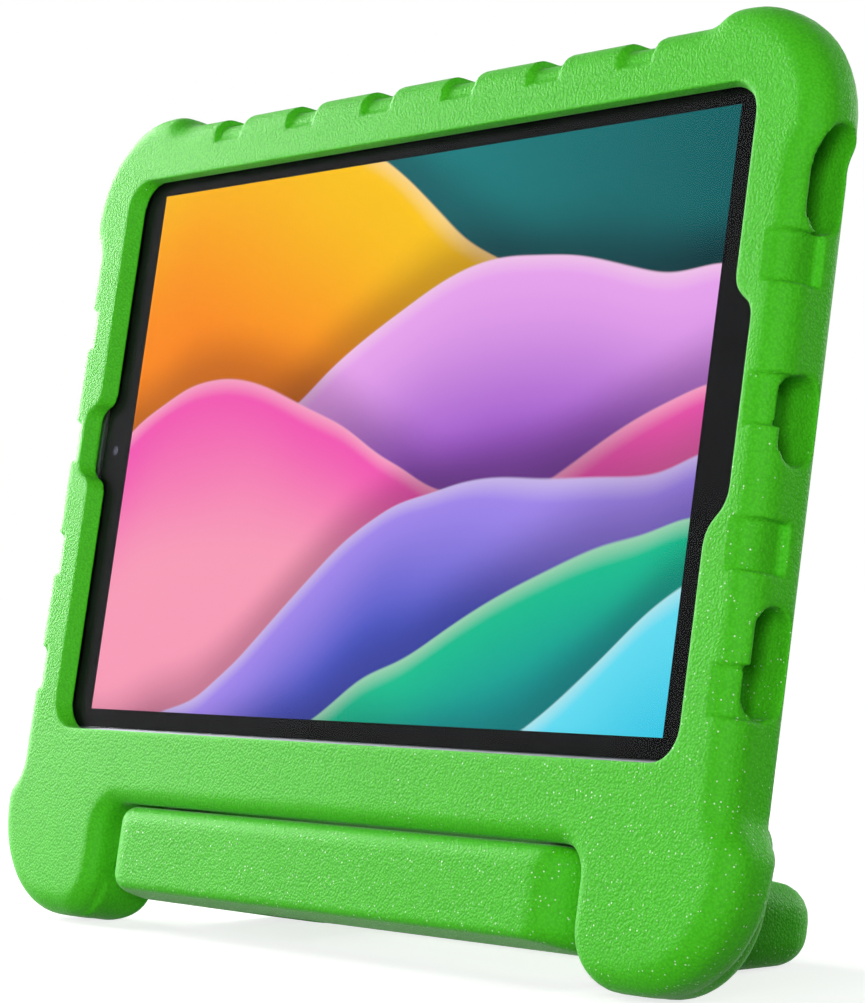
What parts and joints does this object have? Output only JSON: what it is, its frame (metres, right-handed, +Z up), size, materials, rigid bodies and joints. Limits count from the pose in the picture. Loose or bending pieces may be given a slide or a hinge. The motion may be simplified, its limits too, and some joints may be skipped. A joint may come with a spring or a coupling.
{
  "type": "tablet case",
  "caption": "Thick foam case for a children's tablet, with bumper corners, grip grooves, side cut-outs, the tablet in it, and a folding carry handle that props it up as a stand.",
  "frame": {"origin": "middle of the outer size seen from above, at the height of the table it stands on", "axes": "+X to the right of someone who looks at the screen, +Y away from them, +Z up; the case leans back 10 degrees"},
  "size_m": [0.277, 0.0826, 0.2087],
  "materials": {
    "case_foam": "matt EVA foam with a fine pebbled skin, bright green",
    "handle_foam": "matt EVA foam with a fine pebbled skin, bright green",
    "tablet_shell": "satin grey",
    "cover_glass": "polished, printed black round its rim",
    "screen": "lit screen with a soft abstract picture",
    "camera": "dark lens barrel"
  },
  "bodies": {
    "case": {"case_body": "case_foam", "tablet_body": "tablet_shell", "tablet_glass": "cover_glass", "tablet_screen": "screen", "front_camera": "camera"},
    "handle": {"handle": "handle_foam"}
  },
  "joints": [
    {"name": "handle_hinge", "type": "hinge", "parent": "case", "child": "handle", "pos_m": [0, -0.02953, 0.01458], "axis": [1, 0, 0], "range_deg": [-180, 0]}
  ]
}
